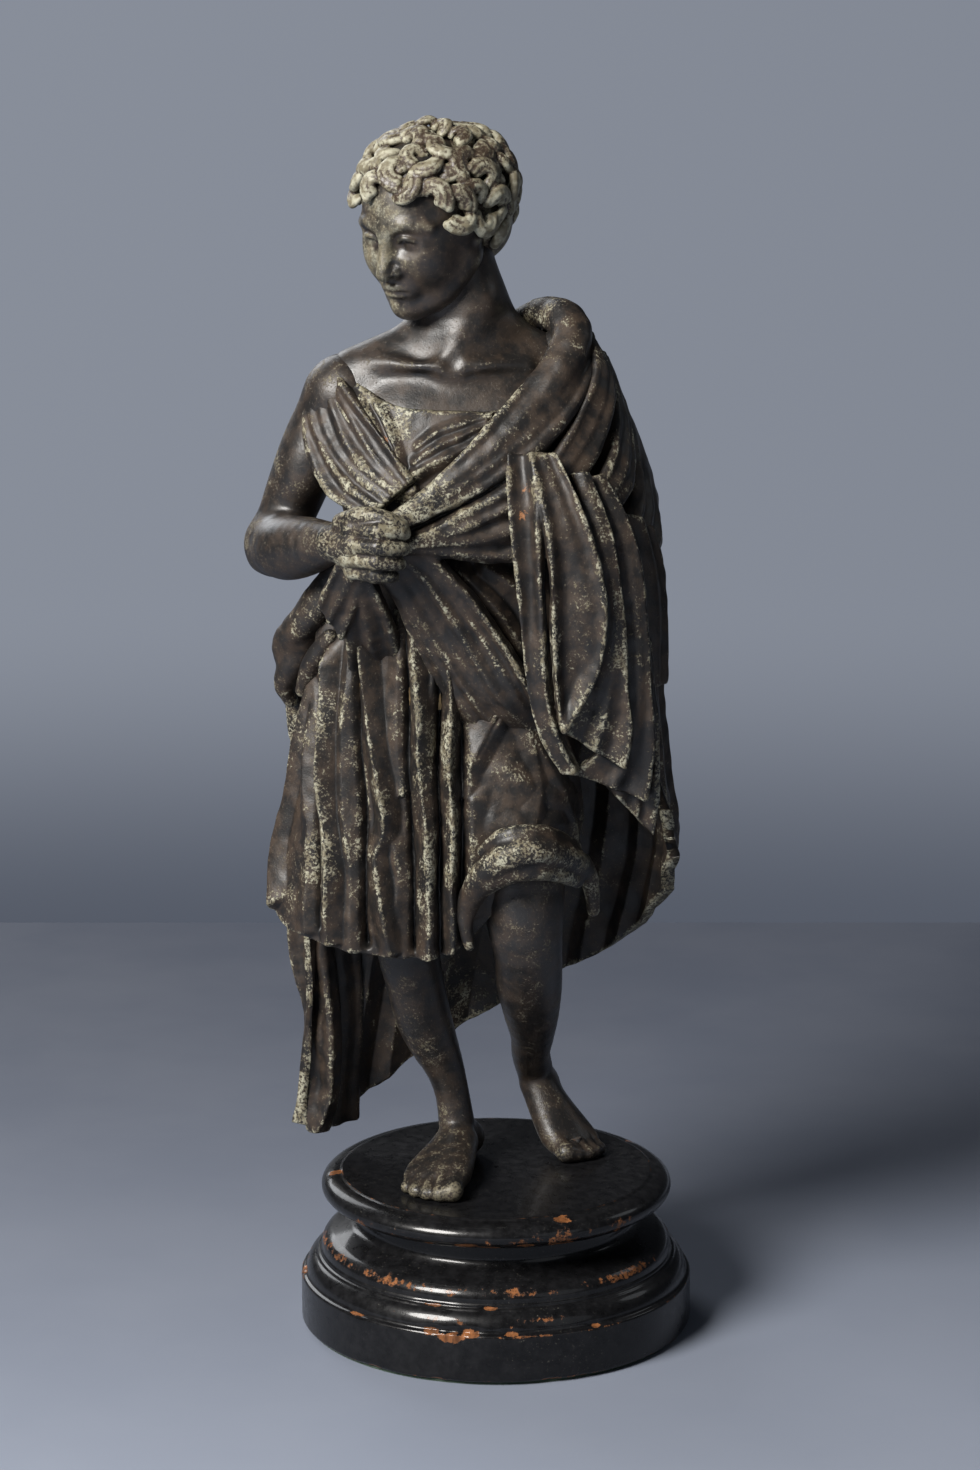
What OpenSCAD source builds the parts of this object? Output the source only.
// Standing draped youth: hollow bronze castings pinned together with Roman joints,
// bolted through a turned, ebonised wooden socle. Units are millimetres.
// The origin is the centre of the resting face, +Z is up and the figure faces -Y.

/* [Overall] */
// Height of the bronze figure above the socle
figure_h = 299; // [240:1:360]
// Height of the socle, felt included
socle_h = 44.7; // [38:0.1:56]
// Diameter of the plinth, the widest turned step
plinth_d = 112; // [93:1:140]

/* [Socle] */
// Height of the plain plinth band above the resting face
plinth_h = 14.8; // [10:0.1:17]
// How far the top of the socle is set in from the plinth
top_inset = 11.4; // [9:0.1:14]
// How far the hollow neck is set in from the plinth
neck_inset = 16.8; // [14:0.1:20]
// Thickness of the moulded edge of the upper disc
disc_h = 8.2; // [7:0.1:9.5]
// Radius of the spigot that locates the upper disc
spigot_r = 8; // [6:0.5:9]
// Length of the spigot
spigot_l = 14; // [8:0.5:14]
// Radius of the recess under the plinth
recess_r = 30; // [28:0.5:36]
// Depth of the recess under the plinth
recess_h = 6; // [5:0.5:9]
// Thickness of the felt pad
felt_t = 1; // [0.6:0.1:2]

/* [Castings] */
// Wall of the hollow castings
wall = 3; // [2:0.1:4]
// Play left where one casting seats on another
seat_gap = 0.15; // [0.1:0.05:0.3]
// Wall of the sleeves inside the neck and the waist
sleeve_wall = 1.5; // [1:0.1:2]
// Radius of the cross pins and rivets
pin_r = 0.9; // [0.6:0.1:1.2]
// Depth of the drapery flutes as a share of the skirt's radius
flute = 0.05; // [0:0.01:0.08]
// Number of flutes round the skirt
flute_count = 13; // [8:1:20]

/* [Fixings] */
// Radius of the foot studs
stud_r = 2; // [1.5:0.1:2.5]
// Depth of the studs in the soles
stud_bite = 6; // [4:0.5:7]
// Radius of the washers
washer_r = 6; // [5:0.5:7]
// Thickness of the washers
washer_t = 1; // [0.6:0.1:1.4]
// Width of the square nuts across their flats
nut_w = 8; // [7:0.5:9]
// Thickness of the nuts
nut_t = 3; // [2:0.5:3.5]

/* [Hidden] */

modelled_h = 299;           // the height that the landmarks below are written for
k = figure_h / modelled_h;
turned_fn = 96;
cast_fn = 14;
fit = 0.15;                 // radial play of a pin or dowel in its bore

// A landmark on the figure: x and y from the socle's axis, z above the socle's top.
function on_figure(p) = [p[0] * k, p[1] * k, socle_h + p[2] * k];

// ---- turned profile of the socle ----
plinth_r = plinth_d / 2;
top_r = plinth_r - top_inset;
bead_r = top_r + 5;
neck_r = plinth_r - neck_inset;
arris = 0.8;
disc_z = socle_h - disc_h;
neck_z = plinth_h + 13;
cove_top = min(neck_z + 2.4, disc_z - 0.2);  // a low socle keeps only part of the cove

function arc_points(c, rx, rz, from, to, steps = 8) =
    [for (i = [0:steps]) let(a = from + (to - from) * i / steps) [c[0] + rx * cos(a), c[1] + rz * sin(a)]];

foot_profile = concat(
    [[0, felt_t], [plinth_r, felt_t], [plinth_r, plinth_h - arris], [plinth_r - arris, plinth_h]],
    arc_points([plinth_r - 4.8, plinth_h], 4, 5.8, 0, 90),
    [[plinth_r - 5.6, plinth_h + 5.8]],
    arc_points([plinth_r - 12, plinth_h + 6.8], 6.4, 5.4, 0, 80),
    [[neck_r + 1.2, neck_z], [neck_r, cove_top], [neck_r, disc_z], [0, disc_z]]);

disc_profile = concat(
    [[0, disc_z], [neck_r + 1.6, disc_z], [top_r - 0.6, disc_z + 0.5]],
    arc_points([top_r, disc_z + 3.9], bead_r - top_r, 3.4, -80, 75),
    [[top_r + 0.8, socle_h - 0.6], [top_r, socle_h], [0, socle_h]]);

// ---- where the feet stand ----
right_stud = on_figure([-12, 0, 0]);
left_stud = on_figure([22.5, 9, 0]);
stud_places = [right_stud, left_stud];
nut_reach = max([for (p = stud_places) norm([p[0], p[1]])]) + max(washer_r, nut_w * 0.75);
recess_half = max(recess_r, nut_reach + 1);  // wide enough for every nut, however far apart the feet are

// ---- landmarks and half-widths: [x, y, z, half-width, half-depth] ----
waist_z = 183;
torso_stations = [[-7, 0, 183, 34, 23], [-8, -1, 195, 35, 24], [-9, -1, 208, 37, 24], [-9, 1, 217, 38.5, 21],
    [-9.5, 2, 225, 36, 17], [-9.5, 2, 231, 26, 13], [-9, 1, 235, 12, 10]];
// The skirt's stations go on with the tilt of the ring and the share that the left knee bulges it.
skirt_stations = [[-20, -4, 79, 43, 25, 8, 0.36], [-18, -4, 92, 43, 25, 6, 0.34], [-15, -3, 110, 43, 25, 3, 0.25],
    [-12, -2, 135, 42, 25, 0, 0.1], [-9, -1, 160, 39, 25, 0, 0], [-7, 0, 183, 34, 23, 0, 0]];
knee_angle = 308;
knee_spread = 26;
knee_roll_z = 96;
// The rolled hem follows the skirt's surface over the knee, and dips at both ends.
knee_roll_path = [for (a = [-44:11:44])
    let(s = skirt_stations[1], m = 1 + s[6] * exp(-pow(a / knee_spread, 2)) + flute)
    [s[0] + s[3] * m * cos(knee_angle + a), s[1] + s[4] * m * sin(knee_angle + a),
     knee_roll_z + 5 * cos(2 * a) - 3, 5, 5, 6]];
bridge_z = 140;
bridge_t = 6;
bridge_c = [-11.2, -1.7];
bridge_half = [37.4, 21.8];  // reaches into the skirt's wall

right_leg_stations = [[-11, 5, 8, 5.8, 8], [-12.5, 5, 17, 5.4, 6.6], [-16, 3, 32, 7.3, 8], [-20, -1, 50, 9.5, 10.5],
    [-24, -5, 68, 10.5, 11], [-25, -5, 82, 11.5, 12], [-25, -3, 110, 13, 14], [-25, -2, bridge_z - 0.2, 13.5, 14]];
left_leg_stations = [[10.5, 20, 20, 5.6, 6.8], [10, 12, 30, 6.4, 7.5], [10.5, -2, 44, 8.8, 9.5], [9, -14, 62, 9.8, 10.5],
    [8, -16, 80, 12, 12.2], [8, -13.8, 92, 12.2, 12.6], [6, -7, 115, 12, 12.8], [4, 0, bridge_z - 0.2, 12.5, 13.5]];

// A ring of n points at a station, grown outwards, with flutes of a share of its radius.
function plan_ring(s, grow, fold, n) = [for (i = [0:n - 1])
    let(a = 360 * i / n, tilt = len(s) > 5 ? s[5] : 0, knee = len(s) > 5 ? s[6] : 0,
        m = 1 + fold * cos(flute_count * a) + knee * exp(-pow((a - knee_angle) / knee_spread, 2)))
    on_figure(s) + [(s[3] * k + grow) * m * cos(a), (s[4] * k + grow) * m * sin(a), tilt * k * cos(a)]];

// Triangles between ring after ring of n points; closed joins the last ring to the first.
function side_faces(rings, n, closed = false) = [for (i = [0:rings - (closed ? 1 : 2)], j = [0:n - 1])
    let(a = i * n + j, b = ((i + 1) % rings) * n + j, c = ((i + 1) % rings) * n + (j + 1) % n,
        d = i * n + (j + 1) % n)
    each [[a, b, c], [a, c, d]]];
function cap_faces(rings, n) = [for (j = [0:n - 1])
    let(m = rings * n, l = (rings - 1) * n)
    each [[m, j, (j + 1) % n], [m + 1, l + (j + 1) % n, l + j]]];
function centre(ring) = [for (axis = [0:2]) let(v = [for (p = ring) p[axis]]) (max(v) + min(v)) / 2];

// A closed solid through rings of points, capped at both ends.
module capped(rings) {
    n = len(rings[0]);
    polyhedron(points = concat([for (r = rings) each r], [centre(rings[0]), centre(rings[len(rings) - 1])]),
        faces = concat(side_faces(len(rings), n), cap_faces(len(rings), n)), convexity = 8);
}

// A closed tube wall through rings of points that return to the first ring.
module walled(rings) {
    polyhedron(points = [for (r = rings) each r], faces = side_faces(len(rings), len(rings[0]), true),
        convexity = 8);
}

module solid_of(stations, grow = 0, n = 28) {
    capped([for (s = stations) plan_ring(s, grow, 0, n)]);
}

// A rounded limb or roll of cloth: stations are [x, y, z, rx, ry, rz] of an egg at each place.
module chain(stations, grow = 0) {
    for (i = [0:len(stations) - 2]) hull() {
        egg(stations[i], grow);
        egg(stations[i + 1], grow);
    }
}

module egg(s, grow = 0, faces = cast_fn) {
    r = len(s) > 4 ? [s[3], s[4], s[5]] : [s[3], s[3], s[3]];
    translate(on_figure(s)) scale(r * k + [grow, grow, grow]) sphere(1, $fn = faces);
}

// A pin or dowel between two landmarks; grow turns it into its own bore.
module pin(a, b, r, grow = 0) {
    v = on_figure(b) - on_figure(a);
    translate(on_figure(a)) rotate([0, acos(v[2] / norm(v)), atan2(v[1], v[0])])
        cylinder(r = r + grow, h = norm(v), $fn = 32);
}

// ---- socle and its fixings ----
module felt_pad() {
    color("darkgreen") cylinder(r = plinth_r - 1.5, h = felt_t, $fn = turned_fn);
}

module socle_foot() {
    color("#1a1613") difference() {
        rotate_extrude($fn = turned_fn) polygon(foot_profile);
        translate([0, 0, felt_t - 1]) cylinder(r = recess_half, h = recess_h + 1, $fn = turned_fn);
        translate([0, 0, disc_z - spigot_l - 1]) cylinder(r = spigot_r + 0.1, h = spigot_l + 2, $fn = turned_fn);
        stud_holes();
    }
}

module socle_top() {
    color("#1f1a16") difference() {
        union() {
            rotate_extrude($fn = turned_fn) polygon(disc_profile);
            translate([0, 0, disc_z - spigot_l]) cylinder(r = spigot_r, h = spigot_l + 1, $fn = turned_fn);
        }
        stud_holes();
    }
}

module stud_holes() {
    for (p = stud_places) translate([p[0], p[1], 0]) cylinder(r = stud_r + 0.25, h = socle_h + 1, $fn = 48);
}

module foot_studs() {
    bottom = felt_t + recess_h - washer_t - nut_t - 0.8;
    color("#6d5a3c") for (p = stud_places) translate([p[0], p[1], bottom])
        cylinder(r = stud_r, h = socle_h - bottom + stud_bite * k, $fn = 48);
}

module stud_washers() {
    color("#8a8578") for (p = stud_places) translate([p[0], p[1], felt_t + recess_h - washer_t])
        difference() {
            cylinder(r = washer_r, h = washer_t, $fn = 48);
            translate([0, 0, -1]) cylinder(r = stud_r + fit, h = washer_t + 2, $fn = 48);
        }
}

module stud_nuts() {
    color("#7c776b") for (p = stud_places) translate([p[0], p[1], felt_t + recess_h - washer_t - nut_t])
        difference() {
            translate([-nut_w / 2, -nut_w / 2, 0]) cube([nut_w, nut_w, nut_t]);
            translate([0, 0, -1]) cylinder(r = stud_r + 0.02, h = nut_t + 2, $fn = 48);
        }
}

// ---- legs ----
// A foot: heel, arch and ball as hulls, then five toes fanned across the ball.
module foot(heel, ankle, ball, toe_from, toe_to, toe_dir) {
    hull() { egg(heel); egg(ankle); }
    hull() { egg(ankle); egg(ball); }
    hull() { egg(heel); egg(ball); }
    for (i = [0:4]) {
        root = toe_from + (toe_to - toe_from) * i / 4;
        size = 3.1 - 0.27 * i;
        tip = root + toe_dir * (1 - 0.08 * i);
        hull() {
            egg([root[0], root[1], root[2], size]);
            egg([tip[0], tip[1], size * 0.6, size * 0.85]);
        }
    }
}

// Keeps the soles flat on the socle.
module above_socle() {
    intersection() {
        children();
        translate([-plinth_r * 2, -plinth_r * 2, socle_h]) cube([plinth_r * 4, plinth_r * 4, figure_h]);
    }
}

module leg_tenon(stations, grow = 0) {
    p = on_figure(stations[len(stations) - 1]);
    translate([p[0], p[1], p[2] - 1]) cylinder(r = 5 * k + grow, h = (bridge_t + 6.2) * k + 1, $fn = 32);
}

module right_leg() {
    color("#3a3029") difference() {
        above_socle() union() {
            solid_of(right_leg_stations, n = 20);
            leg_tenon(right_leg_stations);
            foot([-9, 11, 5, 6.2, 6, 6.3], [-11.5, 4, 12, 5.6, 6.4, 6], [-17, -17, 4, 8.4, 6, 5.4],
                [-12, -20, 3.4], [-24, -17, 2.6], [-1.6, -9, 0]);
        }
        pin([-12, 0, -1], [-12, 0, stud_bite], stud_r, 0.03);
    }
}

module left_leg() {
    color("#3a3029") difference() {
        above_socle() union() {
            solid_of(left_leg_stations, n = 20);
            leg_tenon(left_leg_stations);
            foot([7, 28, 17, 5.4, 5.6, 5.4], [10.5, 20, 20, 5.6, 6.4, 6], [21, 9, 4.4, 7.6, 6, 5.7],
                [16.5, 5.5, 3.4], [27, 10, 2.8], [4, -6.5, 0]);
        }
        pin([22.5, 9, -1], [22.5, 9, stud_bite], stud_r, 0.03);
    }
}

module leg_tenons(grow) {
    leg_tenon(right_leg_stations, grow);
    leg_tenon(left_leg_stations, grow);
}

// Cast web across the inside of the skirt that carries both legs.
module hip_bridge() {
    color("#4a3c2e") difference() {
        bridge_plate(0);
        leg_tenons(fit);
    }
}

module bridge_plate(grow) {
    translate(on_figure([bridge_c[0], bridge_c[1], bridge_z]) - [0, 0, grow])
        linear_extrude(height = bridge_t * k + 2 * grow)
            polygon(arc_points([0, 0], bridge_half[0] * k + grow, bridge_half[1] * k + grow, 0, 352.5, 47));
}

module leg_nuts() {
    color("#6d5a3c") for (stations = [right_leg_stations, left_leg_stations]) {
        top = stations[len(stations) - 1];
        p = on_figure([top[0], top[1], bridge_z + bridge_t + 0.1]);
        translate(p) difference() {
            cylinder(r = 8 * k, h = 4 * k, $fn = 6);
            translate([0, 0, -1]) cylinder(r = 5 * k + 0.05, h = 4 * k + 2, $fn = 32);
        }
    }
}

// ---- tunic ----
// Hanging skirt: a fluted wall, open below, pushed forward by the left knee.
module skirt() {
    n = 52;
    last = len(skirt_stations) - 1;
    color("#40362f") difference() {
        walled(concat(
            [for (i = [last:-1:0]) plan_ring(skirt_stations[i], -wall, flute, n)],
            [for (i = [0:last]) plan_ring(skirt_stations[i], 0, flute, n)]));
        bridge_plate(seat_gap);
    }
}

// Turned-back hem over the left knee, cast apart and seated on the skirt's front.
module knee_roll() {
    color("#54493d") difference() {
        chain(knee_roll_path);
        solid_of(skirt_stations, seat_gap, n = 52);
        solid_of(left_leg_stations, seat_gap, n = 20);
    }
}

// Bodice, chest and shoulders: hollow and open at the waist.
module torso() {
    n = 28;
    inner = 4;              // the cavity reaches up to this station
    color("#352c26") difference() {
        capped(concat(
            [for (i = [inner:-1:0]) plan_ring(torso_stations[i], -wall, 0, n)],
            [for (s = torso_stations) plan_ring(s, 0, 0, n)]));
        rivet_bores();
        neck_plug(fit);
        pin([-40, 2, 216], [-60, 2, 209], 3, fit);
        pin([22, 3, 216], [50, 3, 209], 3, fit);
    }
}

module waist_sleeve() {
    s = torso_stations[0];
    lower = [s[0], s[1], waist_z - 6, s[3], s[4]];
    upper = [s[0], s[1], waist_z + 6, s[3], s[4]];
    outer = -wall - fit;
    inner = outer - sleeve_wall;
    color("#5a4a36") walled([plan_ring(upper, inner, 0, 28), plan_ring(lower, inner, 0, 28),
        plan_ring(lower, outer, 0, 28), plan_ring(upper, outer, 0, 28)]);
}

module waist_rivets() {
    s = torso_stations[0];
    color("#5a4a36") for (a = [20:60:320], side = [-1, 1]) {
        inset = wall + 0.02;
        p = [(s[3] * k - inset) * cos(a), (s[4] * k - inset) * sin(a), side * 4 * k];
        translate(on_figure([s[0], s[1], waist_z]) + p) rotate([0, 90, atan2(p[1], p[0])])
            cylinder(r = pin_r, h = wall - 0.6, $fn = 24);
    }
}

// ---- head ----
neck_c = [-9, 1];
module neck_plug(grow = 0) {
    pin([neck_c[0], neck_c[1], 227], [neck_c[0], neck_c[1], 246], 6.5, grow);
}

module neck_sleeve() {
    color("#5a4a36") difference() {
        neck_plug();
        pin([neck_c[0], neck_c[1], 226], [neck_c[0], neck_c[1], 247], 6.5 - sleeve_wall);
        neck_pin_bore();
    }
}

module neck_pin_bore() {
    pin([neck_c[0], 30, 241], [neck_c[0], -30, 241], pin_r, 0.05);
}

module neck_pin() {
    color("#5a4a36") pin([neck_c[0], 8.4, 241], [neck_c[0], -7, 241], pin_r);
}

// Locks of hair: two rows of rolled curls round the crown.
module curls() {
    for (row = [0:1], i = [0:8]) {
        a = 160 + i * 25 + row * 12;
        z = 264 + row * 17 + 5 * cos(a);
        r = 23 - row * 4;
        hull() {
            egg([-17 + r * cos(a) * 0.92, 1 - r * sin(a), z, 4], faces = 8);
            egg([-17 + r * cos(a + 16) * 0.92, 1 - r * sin(a + 16), z + 2, 4], faces = 8);
        }
    }
}

module head() {
    color("#453a30") difference() {
        union() {
            solid_of([[-9, 1, 235.1, 11.5, 10.5], [-10, 1, 243, 10, 10.5], [-11, 0, 252, 10, 11],
                [-13, 0, 262, 9, 9]], n = 24);
            egg([-17, 2, 275, 21, 22, 24]);
            hull() { egg([-24, -12, 256, 6, 6, 7]); egg([-19, -7, 266, 13, 12, 14]); }
            hull() { egg([-29, -18, 262, 2, 2, 2]); egg([-28, -16, 272, 2, 2, 3]); }
            curls();
        }
        neck_plug(fit);
        neck_pin_bore();
    }
}

// ---- arms ----
right_arm_path = [[-42, 2, 220, 10, 9, 9.5], [-49, 3, 212, 8.5, 8.5, 9], [-54, 4, 200, 7.6], [-58, 5, 190, 7.2],
    [-61, 4, 181, 7.6], [-58, -4, 179, 8.2], [-54, -12, 181, 7.8], [-49, -20, 184, 6.8], [-44, -28, 187, 5.8]];
left_arm_path = [[27, 3, 217, 8.5], [32, 4, 206, 7], [36, 5, 194, 6.2], [39, 5, 184, 6], [41, 4, 178, 6.4],
    [36, -4, 181, 6.2], [29, -12, 187, 5.8], [21, -20, 194, 5.2], [13, -26, 200, 4.6]];

module seated_on_torso() {
    difference() {
        children();
        solid_of(torso_stations, seat_gap);
        solid_of(skirt_stations, seat_gap);
    }
}

module right_arm() {
    color("#2c2521") difference() {
        seated_on_torso() chain(right_arm_path);
        pin([-40, 2, 216], [-60, 2, 209], 3, fit);
        pin([-46, -25, 186], [-40, -36, 189.5], 2, fit);
        wrist_cut();
    }
}

// Everything beyond the wrist seam.
module wrist_cut() {
    translate(on_figure([-44.5, -27.5, 187])) rotate([0, 0, -61]) translate([0, -20, -20]) cube([40, 40, 40]);
}

module arm_dowel() {
    color("#5a4a36") pin([-41.5, 2, 215.6], [-52, 2, 211.8], 3);
}

// Closed hand: palm, knuckles and four fingers curled round the gathered cloth.
module right_hand() {
    color("#54493a") difference() {
        union() {
            chain([[-43.5, -29, 187, 5.4], [-39, -34, 188, 5.4, 4.6, 7.4], [-34, -37, 188, 5, 4.2, 7.6]]);
            for (i = [0:3]) {
                z = 193 - i * 3.7;
                hull() { egg([-36, -39, z, 2.2]); egg([-30, -40.5, z, 2.1]); }
                hull() { egg([-30, -40.5, z, 2.1]); egg([-25.5, -36.5, z, 2]); }
            }
            hull() { egg([-34, -37, 196, 2.4]); egg([-24, -37, 196.5, 2.2]); }
        }
        solid_of(torso_stations, seat_gap);
        solid_of(skirt_stations, seat_gap);
        pin([-46, -25, 186], [-40, -36, 189.5], 2, fit);
        difference() {
            egg([-44, -28, 187, 9]);
            translate([0, 0, 0.01]) wrist_cut();
        }
    }
}

module wrist_dowel() {
    color("#5a4a36") pin([-45.4, -26.2, 186.4], [-40.8, -34.4, 189], 2);
}

module left_arm() {
    color("#2c2521") difference() {
        seated_on_torso() chain(left_arm_path);
        pin([22, 3, 216], [50, 3, 209], 3, fit);
    }
}

module left_arm_dowel() {
    color("#5a4a36") pin([24, 3, 215.5], [34, 3, 213], 3);
}

// ---- mantle ----
band_path = [[22, 12, 231, 7, 7, 7], [22, 0, 236, 8, 7, 7], [14, -12, 231, 8, 7, 7], [5, -20, 222, 7, 7, 7],
    [-5, -24, 212, 7, 6, 7], [-16, -25, 202, 7, 6, 6], [-27, -23, 194, 7, 6, 6], [-37, -16, 189, 6, 6, 6],
    [-42, -6, 187, 6, 6, 6], [-44, 6, 186, 6, 6, 6]];
shoulder_path = [[24, 8, 234, 8, 9, 6], [28, 5, 229, 10, 12, 8], [31, 5, 221, 10, 13, 8], [34, 5, 212, 10, 14, 8],
    [37, 5, 202, 9.5, 13, 8], [39, 6, 192, 9, 12, 8], [41, 9, 182, 8.5, 10, 8], [43, 13, 172, 6, 8, 8],
    [44, 14, 160, 5, 8, 8]];
fall_path = [[12, -30, 205, 6, 5, 5], [18, -30, 196, 11, 6, 7], [24, -27, 184, 14, 7, 8], [27, -24, 170, 16, 7, 8],
    [28, -22, 156, 16, 7, 8], [28, -21, 142, 14, 7, 8], [31, -19, 130, 11, 7, 7], [35, -17, 118, 8, 6, 7],
    [39, -15, 108, 5, 4, 5]];
bunch_path = [[-46, 14, 186, 4, 7, 6], [-49, 14, 178, 5, 7, 6], [-52, 14, 170, 6, 7, 6], [-55, 14, 162, 6, 7, 6],
    [-57, 14, 155, 6, 6, 6], [-57, 14, 148, 5, 6, 5], [-56, 14, 143, 4, 5, 4], [-55, 14, 139, 3, 4, 3],
    [-54, 14, 136, 2, 3, 2]];
tail_path = [[-54, 16, 134, 6, 5, 6], [-57, 16, 120, 7, 5, 8], [-58, 16, 105, 7, 6, 8], [-57, 17, 88, 7, 6, 8],
    [-54, 18, 70, 7, 6, 8], [-52, 19, 52, 6, 6, 8], [-51, 20, 34, 6, 6, 8], [-51, 20, 18, 7, 6, 7],
    [-50, 20, 12, 6, 5, 6]];

module clear_of_body() {
    difference() {
        children();
        solid_of(torso_stations, seat_gap);
        solid_of(skirt_stations, seat_gap + flute * 45 * k);
        chain(left_arm_path, seat_gap);
        back_sheet(seat_gap);
    }
}

module mantle_band() {
    color("#4d4238") clear_of_body() chain(band_path);
}

module mantle_shoulder() {
    color("#463c33") difference() {
        clear_of_body() chain(shoulder_path);
        chain(band_path, seat_gap);
    }
}

module mantle_fall() {
    color("#4a4037") difference() {
        clear_of_body() chain(fall_path);
        chain(shoulder_path, seat_gap);
        chain(knee_roll_path, seat_gap);
    }
}

module mantle_bunch() {
    color("#51463a") clear_of_body() chain(bunch_path);
}

module mantle_tail() {
    color("#463c33") difference() {
        clear_of_body() chain(tail_path);
        chain(bunch_path, seat_gap);
    }
}

// Back panel: a thin fluted sheet round the back. Stations are
// [x, y, z, half-width, half-depth, first angle, last angle], with the angle 90 straight behind.
back_stations = [[-18, 6, 14, 38, 27, 84, 160], [-16, 6, 34, 42, 28, 62, 160], [-12, 6, 50, 47, 29, 50, 160],
    [-5, 6, 68, 54, 30, 30, 160], [-3, 6, 84, 56.5, 30, 4, 160], [-4, 5, 105, 54, 30, -4, 160],
    [-5, 4, 130, 53, 29, -2, 162], [-5, 4, 160, 48, 28, 4, 166], [-5, 3, 195, 41, 27, 16, 158],
    [-4, 4, 216, 36, 22, 28, 140], [0, 8, 227, 26, 15, 34, 120]];
back_steps = 26;
back_folds = 8;
back_fold_depth = 1.6;

function sheet_point(s, a, r) = let(w = r + back_fold_depth * cos(360 * back_folds * a / 180))
    on_figure([s[0], s[1], s[2]]) + [(s[3] + w) * k * cos(a), (s[4] + w) * k * sin(a), 0];
function sheet_ring(s, grow) = let(step = (s[6] - s[5]) / back_steps) concat(
    [for (i = [0:back_steps]) sheet_point(s, s[5] + step * i, grow / k)],
    [for (i = [back_steps:-1:0]) sheet_point(s, s[5] + step * i, -(wall + grow) / k)]);
function sheet_cap(first, n, up) = [for (i = [0:n / 2 - 2])
    let(a = first + i, b = first + i + 1, c = first + n - 2 - i, d = first + n - 1 - i)
    each (up ? [[a, c, b], [a, d, c]] : [[a, b, c], [a, c, d]])];

module back_sheet(grow = 0) {
    rings = [for (s = back_stations) sheet_ring(s, grow)];
    n = len(rings[0]);
    polyhedron(points = [for (r = rings) each r], faces = concat(side_faces(len(rings), n),
        sheet_cap(0, n, false), sheet_cap((len(rings) - 1) * n, n, true)), convexity = 10);
}

// Rivets from the mantle's back into the torso's wall: [x, outer y, inner y, z].
rivet_places = [[-22, 29.6, 19.2, 198], [-2, 32, 20.8, 198], [14, 29.4, 15.9, 198]];

module rivets(grow) {
    for (p = rivet_places) pin([p[0], p[1], p[3]], [p[0], p[2], p[3]], pin_r, grow);
}

module rivet_bores() {
    rivets(0.1);
}

module mantle_back() {
    color("#3d342d") difference() {
        back_sheet();
        rivet_bores();
    }
}

module mantle_rivets() {
    color("#5a4a36") rivets(0);
}

felt_pad();
socle_foot();
socle_top();
foot_studs();
stud_washers();
stud_nuts();
right_leg();
left_leg();
hip_bridge();
leg_nuts();
skirt();
knee_roll();
waist_sleeve();
waist_rivets();
torso();
neck_sleeve();
neck_pin();
head();
right_arm();
arm_dowel();
right_hand();
wrist_dowel();
left_arm();
left_arm_dowel();
mantle_band();
mantle_shoulder();
mantle_fall();
mantle_bunch();
mantle_back();
mantle_tail();
mantle_rivets();
